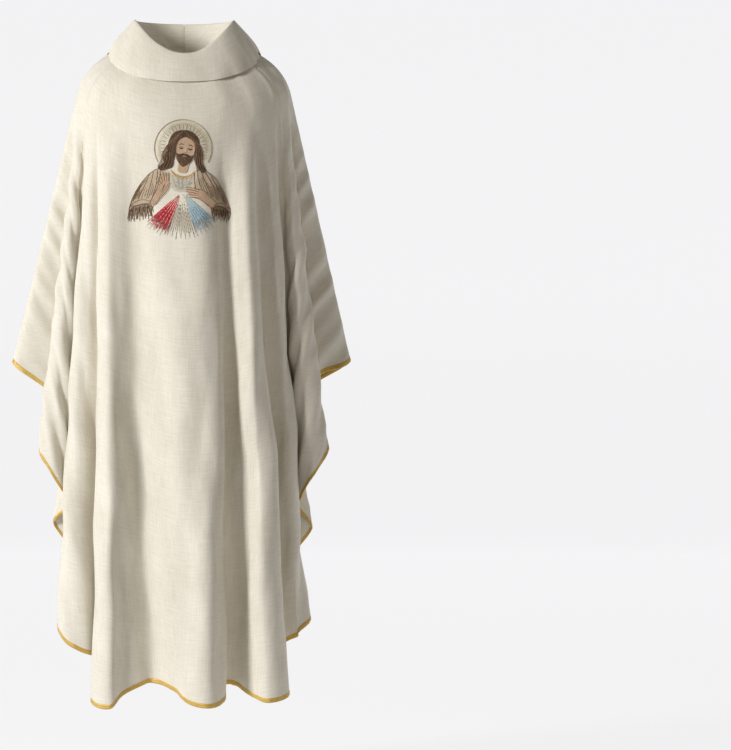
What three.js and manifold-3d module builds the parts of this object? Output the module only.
// A Gothic chasuble hanging as it is worn, with its arms at rest.
// Millimetres, +Z up. The wearer faces -Y, and +X is to the right when the wearer is seen from the front.
// The origin is at the middle of the neck, level with the top of the shoulders.
import * as THREE from 'three';
import { mergeVertices } from 'three/addons/utils/BufferGeometryUtils.js';
import Module from 'manifold-3d';

const wasm = await Module();
wasm.setup();

// ---- driving dimensions -------------------------------------------------------------------------

const GARMENT_DROP = 1295;        // origin down to the lowest point of the hem
const HALF_SPAN = 344;            // origin out to the tip of a sleeve
const FOLD_REACH = 225;           // how far the deepest fold stands out from the middle
const SHOULDER_HALF_WIDTH = 215;  // where the cloth turns from the shoulder into its fall
const CHEST_DEPTH = 140;          // the body under the cloth, front and back of the middle
const BACK_DEPTH = 130;
const NECK_HALF_WIDTH = 88;       // neckline that the collar is sewn to
const NECK_HALF_DEPTH = 78;
const CLOTH = 1.2;                // thickness of the panels
const CLEARANCE = 0.4;            // gap between two pieces that lie on each other
const BRAID_WIDTH = 9;            // gold binding, as seen on the hem
const COLLAR_CLOTH = 1.4;
const COLLAR_HEIGHT = 71;         // rim of the collar above the shoulders, at the sides
const COLLAR_DIP = 75;            // how far the rim drops at the front
const COLLAR_FLARE = 12;          // the rim stands out from the neckline by this, all round
const COLLAR_LIFT = 5;            // the collar's lower edge stands off the shoulders by this
const COLLAR_TURN_IN = 14;        // how far the outer layer comes down inside the rim
const THREAD = 0.5;               // height of one layer of embroidery
const HALO_RADIUS = 58;
const EMBLEM_HEIGHT = 190;        // back ornament, top to bottom
const FIGURE_TOP_Z = -196;        // middle of the halo
const EMBLEM_MIDDLE_Z = -204;

// Each row is one fold line: the angle at which it leaves the neck (degrees round from the middle of
// the panel), then where it meets the hem: across, as a share of HALF_SPAN, forward, as a share of
// FOLD_REACH, and down, as a share of GARMENT_DROP.
const FRONT_FOLDS = [
  [-90, -1.000, 0.00, 0.477],   // right arm: tip of the sleeve
  [-87, -0.965, 0.075, 0.487],
  [-81, -0.700, 0.10, 0.548],   // tucked behind the second fold
  [-77, -0.846, 0.28, 0.606],   // second fold: outer edge
  [-74, -0.770, 0.40, 0.645],
  [-71, -0.680, 0.33, 0.688],
  [-69.5, -0.665, 0.24, 0.700],
  [-68, -0.745, 0.15, 0.724],   // small fold that shows below the second one
  [-66.5, -0.660, 0.09, 0.768],
  [-65, -0.560, 0.16, 0.820],   // tucked behind the third fold
  [-64, -0.738, 0.42, 0.873],   // third fold: outer edge
  [-60, -0.686, 0.57, 0.902],
  [-56, -0.590, 0.58, 0.918],
  [-53, -0.465, 0.47, 0.934],   // tucked behind the middle of the panel
  [-51, -0.520, 0.71, 0.992],   // middle: outer edge
  [-45, -0.418, 0.87, 1.000],
  [-39, -0.320, 0.75, 0.978],
  [-32, -0.198, 0.62, 0.964],   // broad valley
  [-18, -0.070, 0.78, 0.975],
  [-4, 0.035, 0.91, 0.993],
  [9, 0.151, 0.98, 0.998],      // broad ridge
  [17, 0.238, 0.86, 0.990],
  [21, 0.222, 0.62, 0.969],     // tucked under the broad ridge
  [25, 0.279, 0.60, 0.968],
  [29, 0.378, 0.73, 0.984],
  [33, 0.477, 0.87, 0.992],
  [37, 0.598, 0.73, 0.982],     // middle: outer edge
  [41, 0.500, 0.46, 0.932],     // tucked behind it
  [46, 0.587, 0.46, 0.905],
  [51, 0.657, 0.53, 0.894],
  [56, 0.708, 0.40, 0.873],     // third fold: outer edge
  [59, 0.587, 0.13, 0.808],
  [61, 0.651, 0.09, 0.771],
  [62.5, 0.735, 0.14, 0.734],   // small fold that shows below the second one
  [64, 0.657, 0.22, 0.700],
  [66, 0.668, 0.32, 0.686],
  [69, 0.738, 0.40, 0.655],
  [73, 0.837, 0.28, 0.610],     // second fold: outer edge
  [78, 0.675, 0.09, 0.545],     // tucked behind it
  [82, 0.780, 0.15, 0.499],
  [87, 0.942, 0.075, 0.482],
  [90, 0.974, 0.00, 0.474],     // left arm: tip of the sleeve
];

const BACK_FOLDS = [
  [87, 0.938, 0.075, 0.483],
  [81, 0.670, 0.10, 0.535],
  [76, 0.790, 0.27, 0.612],     // second fold: outer edge
  [72, 0.725, 0.38, 0.645],
  [68, 0.645, 0.31, 0.690],
  [65, 0.570, 0.20, 0.740],     // tucked behind the third fold
  [62, 0.680, 0.41, 0.852],     // third fold: outer edge
  [57, 0.605, 0.54, 0.890],
  [51, 0.500, 0.54, 0.912],
  [47, 0.436, 0.42, 0.936],     // tucked behind the next
  [43, 0.480, 0.66, 0.982],     // ridge under the left shoulder blade
  [36, 0.384, 0.87, 0.993],
  [29, 0.279, 0.82, 0.990],
  [24, 0.230, 0.58, 0.966],
  [18, 0.190, 0.73, 0.986],     // broad middle ridge
  [2, 0.023, 0.90, 0.993],
  [-13, -0.145, 0.79, 0.984],
  [-20, -0.218, 0.58, 0.966],
  [-27, -0.285, 0.75, 0.992],   // ridge under the right shoulder blade
  [-36, -0.378, 0.94, 1.000],
  [-44, -0.480, 0.80, 0.992],
  [-47, -0.440, 0.45, 0.940],   // tucked behind it
  [-51, -0.505, 0.54, 0.915],
  [-57, -0.612, 0.54, 0.890],
  [-62, -0.690, 0.41, 0.855],   // third fold: outer edge
  [-65, -0.580, 0.20, 0.745],
  [-68, -0.655, 0.31, 0.690],
  [-72, -0.735, 0.38, 0.648],
  [-76, -0.800, 0.27, 0.608],   // second fold: outer edge
  [-81, -0.685, 0.10, 0.540],
  [-87, -0.962, 0.075, 0.487],
];

// ---- colours ------------------------------------------------------------------------------------

const finish = (color, roughness, metalness = 0) =>
  new THREE.MeshStandardMaterial({ color, roughness, metalness });
const FINISHES = {
  cloth: finish(0xe9e3d0, 0.9),
  tape: finish(0xf1ead8, 0.85),
  stiffening: finish(0xf4f1e8, 0.95),
  braid: finish(0xb9953c, 0.45, 0.3),
  gold: finish(0xc79a2c, 0.4, 0.35),
  paleGold: finish(0xcdb98a, 0.6),
  brown: finish(0x4a382c, 0.7),
  skin: finish(0xd9b08f, 0.7),
  robe: finish(0xd8c6a8, 0.75),
  tunic: finish(0xe6dcc6, 0.75),
  red: finish(0xc23044, 0.6),
  blue: finish(0x9cc3d8, 0.6),
  dark: finish(0x3a3430, 0.7),
};

// ---- solids from sheets -------------------------------------------------------------------------

const MITRE_LIMIT = 0.45;    // sharpest turn that keeps its full thickness
const chasuble = new THREE.Group();

function addPiece(name, geometry, material) {
  const mesh = new THREE.Mesh(geometry, material);
  mesh.name = name;
  chasuble.add(mesh);
  return mesh;
}

function indexed(points, triangles) {
  const geometry = new THREE.BufferGeometry();
  const flat = points.flatMap((p) => [p.x, p.y, p.z]);
  geometry.setAttribute('position', new THREE.Float32BufferAttribute(flat, 3));
  geometry.setIndex(triangles);
  geometry.computeVertexNormals();
  return geometry;
}

function triangleNormal(a, b, c) {
  return b.clone().sub(a).cross(c.clone().sub(a)).normalize();
}

// For each point of a grid[row][column] that runs down and round the body, the normals of the
// triangles at that point. The grid's first and last columns are only there to give their neighbours
// a direction, and get no list.
function normalsAround(grid) {
  const lower = grid.slice(0, -1).map((row, j) => row.slice(0, -1).map((p, i) =>
    triangleNormal(p, grid[j + 1][i], grid[j + 1][i + 1])));
  const upper = grid.slice(0, -1).map((row, j) => row.slice(0, -1).map((p, i) =>
    triangleNormal(p, grid[j + 1][i + 1], row[i + 1])));
  return grid.map((row, j) => row.slice(1, -1).map((_, k) => {
    const i = k + 1;
    const above = j > 0 ? [lower[j - 1][i - 1], upper[j - 1][i - 1], lower[j - 1][i]] : [];
    const below = j < grid.length - 1 ? [upper[j][i - 1], lower[j][i], upper[j][i]] : [];
    return [...above, ...below];
  }));
}

// The vector that moves every face with one of these normals outward by at least 1: it leans as little
// as it can from any of them.
function mitre(normals) {
  const lean = normals.reduce((total, normal) => total.add(normal), new THREE.Vector3()).normalize();
  const dots = () => normals.map((normal) => normal.dot(lean));
  for (let pull = 0.5; pull > 0.02; pull *= 0.8) {
    const each = dots();
    lean.addScaledVector(normals[each.indexOf(Math.min(...each))], pull).normalize();
  }
  return lean.divideScalar(Math.max(Math.min(...dots()), MITRE_LIMIT));
}

function offsetGrid(grid, normals, distance) {
  return grid.map((row, j) => row.map((p, i) => p.clone().addScaledVector(normals[j][i], distance)));
}

// A closed solid between two grids of the same size: the outer one faces away from the body.
function sheetSolid(outer, inner) {
  const rows = outer.length;
  const columns = outer[0].length;
  const points = [...outer.flat(), ...inner.flat()];
  const at = (layer, j, i) => layer * rows * columns + j * columns + i;
  const triangles = [];
  const quad = (a, b, c, d) => triangles.push(a, b, c, a, c, d);
  for (let j = 0; j + 1 < rows; j += 1) {
    for (let i = 0; i + 1 < columns; i += 1) {
      quad(at(0, j, i), at(0, j + 1, i), at(0, j + 1, i + 1), at(0, j, i + 1));
      quad(at(1, j, i), at(1, j, i + 1), at(1, j + 1, i + 1), at(1, j + 1, i));
    }
  }
  for (let i = 0; i + 1 < columns; i += 1) {
    quad(at(0, 0, i), at(0, 0, i + 1), at(1, 0, i + 1), at(1, 0, i));
    quad(at(0, rows - 1, i), at(1, rows - 1, i), at(1, rows - 1, i + 1), at(0, rows - 1, i + 1));
  }
  for (let j = 0; j + 1 < rows; j += 1) {
    quad(at(0, j, 0), at(1, j, 0), at(1, j + 1, 0), at(0, j + 1, 0));
    const last = columns - 1;
    quad(at(0, j, last), at(0, j + 1, last), at(1, j + 1, last), at(1, j, last));
  }
  return indexed(points, triangles);
}

// A closed solid between two distances from a face; outward is positive.
function layer({ points, normals }, top, bottom) {
  return sheetSolid(offsetGrid(points, normals, top), offsetGrid(points, normals, bottom));
}

// A face from a grid with one spare column at each side.
function faceOf(grid) {
  const normals = normalsAround(grid).map((row) => row.map((list) => mitre(list)));
  return { points: grid.map((row) => row.slice(1, -1)), normals };
}

function rowsOf({ points, normals }, first, last) {
  return { points: points.slice(first, last), normals: normals.slice(first, last) };
}

// ---- the hanging cloth --------------------------------------------------------------------------

const YOKE = 0.16;           // share of a fold line that lies on the shoulder
const FOLD_OPENING = 1.6;    // folds open this much faster under the shoulder than at the hem

const mix = THREE.MathUtils.lerp;
const ellipse = (angle, width, depth, z) =>
  new THREE.Vector3(width * Math.sin(angle), depth * Math.cos(angle), z);

// Over the shoulders the neckline stands at NECK_TOP and the fall begins at TURN_Z. At its middle each
// panel lies lower by the three drops: of the neckline, of the crest, and of the start of the fall.
const NECK_TOP = 25;
const TURN_Z = -80;
const FRONT = { sign: -1, depth: CHEST_DEPTH, neckDrop: 55, crestDrop: 60, turnDrop: 80 };
const BACK = { sign: 1, depth: BACK_DEPTH, neckDrop: 15, crestDrop: 20, turnDrop: 60 };

// A point on one fold line of a panel, along from 0 at the neck to 1 at the hem.
function foldPoint([degrees, across, out, down], panel, along) {
  const angle = THREE.MathUtils.degToRad(degrees);
  const middle = Math.cos(angle);
  const { sign } = panel;
  const neckZ = NECK_TOP - panel.neckDrop * middle;
  const neck = ellipse(angle, NECK_HALF_WIDTH, sign * NECK_HALF_DEPTH, neckZ);
  const turnZ = TURN_Z - panel.turnDrop * middle;
  const turn = ellipse(angle, SHOULDER_HALF_WIDTH, sign * panel.depth, turnZ);
  const hem = new THREE.Vector3(across * HALF_SPAN, sign * out * FOLD_REACH, -down * GARMENT_DROP);
  const fall = hem.clone().sub(turn);
  fall.y *= FOLD_OPENING;
  if (along < YOKE) {
    const crest = turn.clone().addScaledVector(fall, (-panel.crestDrop * middle - turn.z) / fall.z);
    return new THREE.QuadraticBezierCurve3(neck, crest, turn).getPoint(along / YOKE);
  }
  const s = (along - YOKE) / (1 - YOKE);
  const opening = s * (FOLD_OPENING - (FOLD_OPENING - 1) * s);
  return new THREE.Vector3(mix(turn.x, hem.x, s), mix(turn.y, hem.y, opening), mix(turn.z, hem.z, s));
}

// The cloth runs once round the body: the front panel from arm to arm, then the back panel.
const LOOP = [
  ...FRONT_FOLDS.map((fold) => [fold, FRONT]),
  ...BACK_FOLDS.map((fold) => [fold, BACK]),
];
const FRONT_START = 0;
const FRONT_END = FRONT_FOLDS.length - 1;
const BACK_END = LOOP.length;

// A smooth closed curve through the fold lines at one height, at place t counted in fold lines.
function clothPoint(t, along) {
  const count = LOOP.length;
  const i = Math.floor(t);
  const u = t - i;
  const p = [-1, 0, 1, 2].map((k) => {
    const [fold, panel] = LOOP[(i + k + count) % count];
    return foldPoint(fold, panel, along);
  });
  const d = [0, 1, 2].map((k) => Math.sqrt(p[k].distanceTo(p[k + 1])));
  const slope = (a, b, span) => b.clone().sub(a).divideScalar(span);
  const tangent = (a, b, c, before, after) =>
    slope(a, b, before).sub(slope(a, c, before + after)).add(slope(b, c, after)).multiplyScalar(d[1]);
  const start = tangent(p[0], p[1], p[2], d[0], d[1]);
  const end = tangent(p[1], p[2], p[3], d[1], d[2]);
  const h = [(1 + 2 * u) * (1 - u) ** 2, u * (1 - u) ** 2, u * u * (3 - 2 * u), u * u * (u - 1)];
  return p[1].clone().multiplyScalar(h[0]).addScaledVector(start, h[1])
    .addScaledVector(p[2], h[2]).addScaledVector(end, h[3]);
}

const range = (from, to, steps) => Array.from({ length: steps + 1 }, (_, k) => mix(from, to, k / steps));
const YOKE_STEPS = 4;
const FALL_STEPS = 6;
const HEIGHTS = [...range(0, YOKE, YOKE_STEPS), ...range(YOKE, 1, FALL_STEPS).slice(1)];

// The outer face of a panel from fold line start to fold line end. At the hem there is one more row of
// points, where the braid's upper edge lies.
function panelFace(start, end) {
  const first = start + SEAM_GAP;
  const last = end - SEAM_GAP;
  const inner = range(first, last, COLUMNS_PER_FOLD * (end - start));
  const places = [first - 2 * SEAM_GAP, ...inner, last + 2 * SEAM_GAP];
  const grid = HEIGHTS.map((along) => places.map((t) =>
    clothPoint((t + LOOP.length) % LOOP.length, along)));
  const braidTop = grid.at(-1).map((p, i) => p.clone().add(
    grid.at(-2)[i].clone().sub(p).setLength(BRAID_WIDTH + CLEARANCE)));
  grid.splice(-1, 0, braidTop);
  return faceOf(grid);
}

const SEAM_GAP = 0.05;       // in fold lines: the panels stop this far from the shoulder ridge
const COLUMNS_PER_FOLD = 2;
const frontFace = panelFace(FRONT_START, FRONT_END);
const backFace = panelFace(FRONT_END, BACK_END);
const aboveBraid = (face) => rowsOf(face, 0, face.points.length - 1);
addPiece('front_panel', layer(aboveBraid(frontFace), 0, -CLOTH), FINISHES.cloth);
addPiece('back_panel', layer(aboveBraid(backFace), 0, -CLOTH), FINISHES.cloth);

// ---- shoulder seams: the allowances that join the panels, pressed flat inside -------------------

// It bridges the last facet of one panel and the first of the next, from the collar to the braid.
function shoulderSeam(name, before, after) {
  const grid = before.points.slice(1, -1).map((row, j) => {
    const next = after.points[j + 1];
    const ridge = row.at(-1).clone().lerp(next[0], 0.5);
    return [...row.slice(-3, -1), ridge, ...next.slice(1, 3)];
  });
  const top = -CLOTH - CLEARANCE;
  addPiece(name, layer(faceOf(grid), top, top - CLOTH / 2), FINISHES.cloth);
}

shoulderSeam('left_shoulder_seam', frontFace, backFace);
shoulderSeam('right_shoulder_seam', backFace, frontFace);

// ---- hem braid: a band as thick as the cloth that finishes its cut edge --------------------------

function hemBraid(name, { points, normals }) {
  const [top, hem] = points.slice(-2);
  const upper = top.map((p, i) => p.clone().add(hem[i].clone().sub(p).setLength(CLEARANCE)));
  const strip = { points: [upper, hem], normals: normals.slice(-2) };
  addPiece(name, layer(strip, 0, -CLOTH), FINISHES.braid);
}

hemBraid('front_hem_braid', frontFace);
hemBraid('back_hem_braid', backFace);

// ---- collar -------------------------------------------------------------------------------------

const COLLAR_STEPS = 44;
const COLLAR_GAP = 0.006;    // radians either side of the centre-back join
const TURN_IN_INSET = 5;     // how far the turned-in edge lies inside the rim

// Height of the collar's rim at an angle round from the front.
function rimHeight(angle) {
  const front = Math.max(Math.cos(angle), 0);
  return COLLAR_HEIGHT - COLLAR_DIP * front * front;
}

function rimPoint(angle, inward = 0) {
  const outward = COLLAR_FLARE - inward;
  return ellipse(angle, NECK_HALF_WIDTH + outward, -NECK_HALF_DEPTH - outward, rimHeight(angle));
}

// The fold line, by place in the loop, that leaves the neck at an angle round from the front.
function placeAtAngle(angle) {
  const degrees = THREE.MathUtils.radToDeg(angle);
  const turned = LOOP.map(([[own], panel]) => (panel === FRONT ? own : 180 - own));
  const round = degrees < -90 ? degrees + 360 : degrees;
  for (let i = 0; i < turned.length; i += 1) {
    const next = i + 1 < turned.length ? turned[i + 1] : 270;
    if (round >= turned[i] && round < next) {
      return i + (round - turned[i]) / (next - turned[i]);
    }
  }
  return turned.length - 1e-6;
}

// Share of the shoulder that the collar covers at the front, sides and back.
const COVER_FRONT = 0.40;
const COVER_SIDE = 0.29;
const COVER_BACK = 0.50;
const NUDGE = 0.01;

// The collar's lower edge lies just off the shoulders.
function collarEdge(angle) {
  const forward = Math.cos(angle);
  const along = YOKE * mix(COVER_SIDE, forward > 0 ? COVER_FRONT : COVER_BACK, Math.abs(forward));
  const place = placeAtAngle(angle);
  const here = clothPoint(place, along);
  const down = clothPoint(place, along + NUDGE).sub(here);
  const round = clothPoint((place + NUDGE) % LOOP.length, along).sub(here);
  return here.addScaledVector(down.cross(round).normalize(), COLLAR_LIFT + COLLAR_CLOTH);
}

// The roll over the rim, from the turned-in edge to where the collar starts down: how far out of the
// rim and above it. Below that the collar swells off the straight line to its edge: share of the way
// down, then swell.
const ROLL = [[-TURN_IN_INSET, -COLLAR_TURN_IN], [-4.5, -5], [-2.5, -1], [0, 0], [2.5, -1.5]];
const ROLL_FOOT = [3.5, -4];
const SWELL = [[0.12, 1.5], [0.45, 2.5], [0.78, 2]];

// Outer face of the turned-over layer, from inside the rim, over it and down to the lower edge.
function fallProfile(angle) {
  const edge = collarEdge(angle);
  const outward = new THREE.Vector3(Math.sin(angle), -Math.cos(angle), 0);
  const move = (point, out, up) => point.addScaledVector(outward, out).add(new THREE.Vector3(0, 0, up));
  const roll = ROLL.map(([out, up]) => move(rimPoint(angle), out, up));
  const foot = move(rimPoint(angle), ...ROLL_FOOT);
  const belly = SWELL.map(([share, swell]) => move(foot.clone().lerp(edge, share), swell, swell));
  return [...roll, ...belly, edge];
}

const collarAngles = range(-Math.PI + COLLAR_GAP, Math.PI - COLLAR_GAP, COLLAR_STEPS);
const spareAngles = [Math.PI - COLLAR_GAP, ...collarAngles, -Math.PI + COLLAR_GAP];

// A ring round the neck: rows run down the profile, columns run round from the back's middle.
function ringFace(profile) {
  const columns = spareAngles.map((angle) => profile(angle));
  return faceOf(columns[0].map((_, j) => columns.map((column) => column[j])));
}

const fallFace = ringFace(fallProfile);
const visibleFall = rowsOf(fallFace, ROLL.length - 1);
const stiffTop = -COLLAR_CLOTH - CLEARANCE;
const STIFFENING = 0.7;
addPiece('collar_fall', layer(fallFace, 0, -COLLAR_CLOTH), FINISHES.cloth);
addPiece('collar_interfacing', layer(visibleFall, stiffTop, stiffTop - STIFFENING), FINISHES.stiffening);

// The stand rises from inside the neckline to lie inside the turned-in edge of the fall.
const STAND_DROP = 8;        // how far the stand reaches below the neckline
const STAND_RISE = 4;        // and how far it rises before it leans out to the rim
const STAND_LAP = 5;         // it laps over the turned-in edge by this
function standProfile(angle) {
  const forward = Math.cos(angle);
  const neckZ = NECK_TOP - (forward > 0 ? FRONT : BACK).neckDrop * Math.abs(forward);
  const inset = CLOTH + CLEARANCE;
  const ring = (z) => ellipse(angle, NECK_HALF_WIDTH - inset, inset - NECK_HALF_DEPTH, z);
  const head = rimPoint(angle, TURN_IN_INSET + CLEARANCE);
  head.z -= COLLAR_TURN_IN - STAND_LAP;
  return [head, ring(neckZ + STAND_RISE), ring(neckZ - STAND_DROP)];
}
const standFace = ringFace(standProfile);
addPiece('collar_stand', layer(standFace, 0, -COLLAR_CLOTH), FINISHES.cloth);

// Tape over the neckline seam inside the stand, and the dark tack that fixes it behind the neck.
const TAPE = 0.8;
const tapeTop = -COLLAR_CLOTH - CLEARANCE;
addPiece('neck_tape', layer(rowsOf(standFace, 1), tapeTop, tapeTop - TAPE), FINISHES.tape);

const TACK_COLUMN = 42;      // the facet of the stand that it is sewn to
const TACK_DEPTH = 1;
function tackFace() {
  const { points, normals } = rowsOf(standFace, 1);
  const [top, foot] = points.map((row) => row.slice(TACK_COLUMN));
  const place = (down, share) =>
    top[0].clone().lerp(top[1], share).lerp(foot[0].clone().lerp(foot[1], share), down);
  return {
    points: [0.35, 0.65].map((down) => [0.3, 0.6].map((share) => place(down, share))),
    normals: [0, 1].map(() => [0, 1].map(() => normals[0][TACK_COLUMN])),
  };
}
const tackTop = tapeTop - TAPE - CLEARANCE;
addPiece('neck_tack', layer(tackFace(), tackTop, tackTop - TACK_DEPTH), FINISHES.dark);

// The collar's join behind the neck: a narrow strip under the outer layer's two edges.
function backSeamFace() {
  const pick = (row) => [row.at(-2), row.at(-1), row[0], row[1]];
  return { points: visibleFall.points.map(pick), normals: visibleFall.normals.map(pick) };
}
const seamTop = stiffTop - STIFFENING - CLEARANCE;
addPiece('collar_back_seam', layer(backSeamFace(), seamTop, seamTop - STIFFENING), FINISHES.cloth);

// ---- embroidery: thin pads of thread that follow the cloth, one layer over another -------------

// Drawn as seen by someone who faces the panel: x to the right and y up, from the work's own middle.
const FRONT_WORK = {
  face: blockOf(frontFace, [2, 7], [-46, 38]), turn: 0, middle: new THREE.Vector3(-2, 0, FIGURE_TOP_Z),
};
const BACK_WORK = {
  face: blockOf(backFace, [2, 7], [-37, 37]), turn: Math.PI,
  middle: new THREE.Vector3(0, 0, EMBLEM_MIDDLE_Z),
};
const CUT_DEPTH = 400;       // longer than the body is deep, front to back

// The part of a face between two rows, and between two angles round from the panel's middle.
function blockOf({ points, normals }, [top, bottom], [from, to]) {
  const start = points[YOKE_STEPS];
  const angle = (p) => THREE.MathUtils.radToDeg(Math.asin(p.x / SHOULDER_HALF_WIDTH));
  const inside = start.map((p) => angle(p) > from && angle(p) < to);
  const cut = (rows) => rows.slice(top, bottom).map((row) => row.filter((_, i) => inside[i]));
  return { points: cut(points), normals: cut(normals) };
}

function toManifold(geometry) {
  const bare = geometry.clone();
  bare.deleteAttribute('normal');
  bare.deleteAttribute('uv');
  const merged = mergeVertices(bare, 1e-4);
  return new wasm.Manifold(new wasm.Mesh({
    numProp: 3,
    vertProperties: new Float32Array(merged.attributes.position.array),
    triVerts: new Uint32Array(merged.index.array),
  }));
}

function toGeometry(manifold) {
  const { vertProperties, triVerts } = manifold.getMesh();
  const geometry = new THREE.BufferGeometry();
  geometry.setAttribute('position', new THREE.BufferAttribute(vertProperties, 3));
  geometry.setIndex(new THREE.BufferAttribute(triVerts, 1));
  geometry.computeVertexNormals();
  return geometry;
}

// One pad: the outline cut through a layer that lies level pads above the cloth.
function embroider(name, outline, level, material, work) {
  const block = new THREE.ExtrudeGeometry(outline, { depth: CUT_DEPTH, bevelEnabled: false });
  block.rotateX(Math.PI / 2).rotateZ(work.turn).translate(...work.middle.toArray());
  const foot = CLEARANCE + level * (THREAD + CLEARANCE);
  const pad = toManifold(layer(work.face, foot + THREAD, foot));
  addPiece(name, toGeometry(pad.intersect(toManifold(block))), material);
}

const flatCurve = (points, closed) => new THREE.CatmullRomCurve3(
  points.map(([x, y]) => new THREE.Vector3(x, y, 0)), closed, 'centripetal');
const SMOOTHNESS = 3;        // straight pieces between two points of an outline

function blob(points) {
  const smooth = flatCurve(points, true).getPoints(points.length * SMOOTHNESS).slice(0, -1);
  return new THREE.Shape(smooth.map(({ x, y }) => new THREE.Vector2(x, y)));
}

const patch = (points) => new THREE.Shape(points.map(([x, y]) => new THREE.Vector2(x, y)));

// A stroke of thread along a curve, widest at its middle.
function stroke(points, endWidth, middleWidth) {
  const curve = flatCurve(points, false);
  const steps = points.length * SMOOTHNESS;
  const side = (sign) => range(0, 1, steps).map((share) => {
    const p = curve.getPoint(share);
    const way = curve.getTangent(share);
    const half = mix(endWidth, middleWidth, Math.sin(Math.PI * share)) / 2;
    return new THREE.Vector2(p.x - sign * way.y * half, p.y + sign * way.x * half);
  });
  return new THREE.Shape([...side(1), ...side(-1).reverse()]);
}

const mirrored = (points) => points.map(([x, y]) => [-x, y]);

// A ring with short stitches pointing in, left open where the shoulders hide it.
const HALO_DIP = THREE.MathUtils.degToRad(28);
const HALO_STITCHES = 25;
const HALO_STITCH = 12;      // length of a stitch, from the outside of the ring
const HALO_BAND = 2.5;       // width of the ring itself
function haloShape() {
  const angles = range(-HALO_DIP, Math.PI + HALO_DIP, 4 * HALO_STITCHES);
  const at = (radius, angle) => new THREE.Vector2(radius * Math.cos(angle), radius * Math.sin(angle));
  const outer = angles.map((angle) => at(HALO_RADIUS, angle));
  const inner = angles.reverse().map((angle, k) =>
    at(HALO_RADIUS - (k % 4 === 2 ? HALO_STITCH : HALO_BAND), angle));
  return new THREE.Shape([...outer, ...inner]);
}

function beardShape() {
  const beard = blob([[-16, -8], [-13, -24], [4, -36], [20, -25], [23, -9], [16, -14], [4, -12], [-8, -14]]);
  beard.holes.push(new THREE.Path(blob([[-1, -19], [4, -17.5], [9, -19], [4, -21]]).getPoints()));
  return beard;
}

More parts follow.
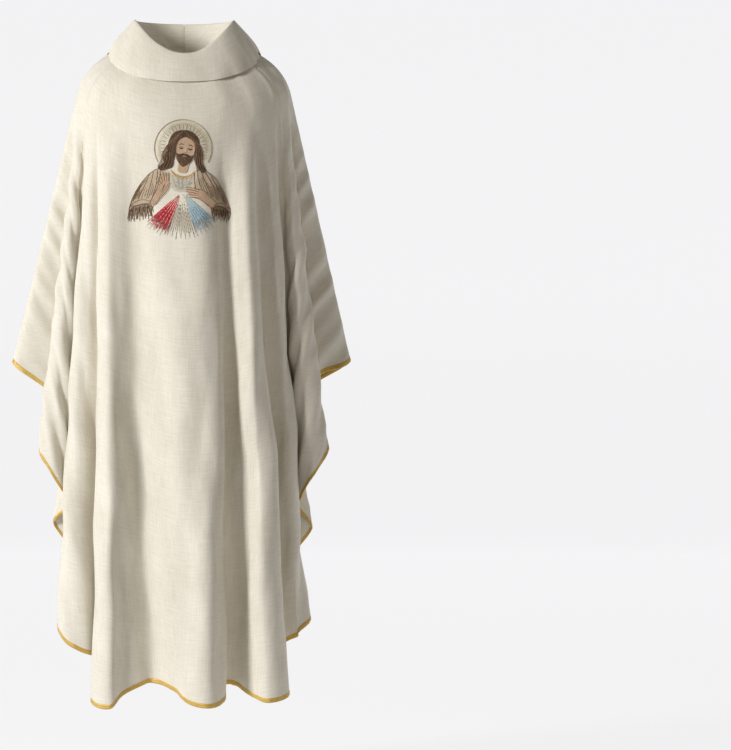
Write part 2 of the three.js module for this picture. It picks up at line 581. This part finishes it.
const FIGURE = [
  ['halo', haloShape(), 0, FINISHES.paleGold],
  ['robe_right_side', patch([[-57, -46], [-34, -46], [-27, -58], [-20, -84], [-68, -140], [-82, -140],
    [-104, -128], [-107, -112], [-84, -74]]), 0, FINISHES.robe],
  ['robe_left_side', patch([[42, -46], [26, -54], [16, -86], [58, -142], [72, -144], [90, -130],
    [92, -117], [74, -76]]), 0, FINISHES.robe],
  ['tunic', patch([[-24, -56], [2, -64], [22, -54], [13, -82], [-3, -84], [-17, -82]]), 0, FINISHES.tunic],
  ['red_rays', patch([[-8, -90], [-64, -150], [-46, -162], [-29, -166]]), 0, FINISHES.red],
  ['pale_rays', patch([[-5, -92], [-26, -168], [0, -176], [23, -168], [-2, -92]]), 0, FINISHES.tunic],
  ['blue_rays', patch([[1, -90], [26, -164], [40, -160], [53, -148]]), 0, FINISHES.blue],
  ['hair', blob([[0, 37], [-24, 28], [-36, 4], [-41, -22], [-54, -38], [-36, -43], [-18, -39], [8, -42],
    [24, -45], [42, -50], [36, -34], [32, -12], [29, 18]]), 1, FINISHES.brown],
  ['neckline_trim', stroke([[-21, -52], [-10, -58], [2, -60], [13, -57]], 3, 4), 1, FINISHES.gold],
  ['blessing_hand', blob([[-42, -52], [-38, -46], [-32, -46], [-26, -58], [-28, -74], [-44, -98],
    [-54, -116], [-63, -110], [-52, -86], [-46, -70]]), 1, FINISHES.skin],
  ['heart_hand', blob([[4, -82], [8, -90], [22, -100], [40, -112], [58, -120], [63, -110], [46, -94],
    [28, -84]]), 1, FINISHES.skin],
  ['face', blob([[4, 19], [-9, 13], [-14, -4], [-10, -22], [-6, -38], [12, -38], [18, -22], [21, -3],
    [16, 14]]), 2, FINISHES.skin],
  ['beard', beardShape(), 3, FINISHES.brown],
  ['nose', stroke([[5, 4], [6, -3], [5, -8.5]], 1.6, 3), 3, FINISHES.robe],
  ['right_eye', stroke([[-8, 2], [-4, 0.4], [0, 2]], 1, 1.8), 3, FINISHES.dark],
  ['left_eye', stroke([[10, 2.4], [14, 0.8], [17.6, 2.8]], 1, 1.8), 3, FINISHES.dark],
];
FIGURE.forEach(([name, shape, level, material]) => embroider(name, shape, level, material, FRONT_WORK));

// Back ornament: a small cross over a stem, scrolls to both sides, leaves and a pendant.
const RISE = EMBLEM_HEIGHT / 2;
const SCROLL = [[9, 3], [15, 24], [30, 40], [50, 40], [60, 26], [52, 14], [40, 20]];
const LOWER_SCROLL = [[9, -12], [18, -28], [36, -38], [56, -32], [62, -18], [52, -8], [42, -16]];
const SIDE_LEAF = [[7, -44], [20, -44], [30, -56]];
const ORNAMENT = [
  ['ornament_cross', patch([[-1.2, RISE], [-1.2, RISE - 10], [-12, RISE - 10], [-12, RISE - 12.5],
    [-1.2, RISE - 12.5], [-1.2, RISE - 26], [1.2, RISE - 26], [1.2, RISE - 12.5], [12, RISE - 12.5],
    [12, RISE - 10], [1.2, RISE - 10], [1.2, RISE]]), FINISHES.gold],
  ['ornament_stem', stroke([[0, 66], [0, 30], [0, -10], [0, -54]], 5, 11), FINISHES.gold],
  ['ornament_left_scroll', stroke(mirrored(SCROLL), 4, 11), FINISHES.gold],
  ['ornament_right_scroll', stroke(SCROLL, 4, 11), FINISHES.gold],
  ['ornament_left_lower_scroll', stroke(mirrored(LOWER_SCROLL), 4, 11), FINISHES.gold],
  ['ornament_right_lower_scroll', stroke(LOWER_SCROLL, 4, 11), FINISHES.gold],
  ['ornament_left_leaf', stroke(mirrored(SIDE_LEAF), 2, 9), FINISHES.gold],
  ['ornament_right_leaf', stroke(SIDE_LEAF, 2, 9), FINISHES.gold],
  ['ornament_pendant', stroke([[0, 4 - RISE + 34], [0, 22 - RISE], [0, -RISE]], 2, 16), FINISHES.gold],
];
ORNAMENT.forEach(([name, shape, material]) => embroider(name, shape, 0, material, BACK_WORK));

export default chasuble;
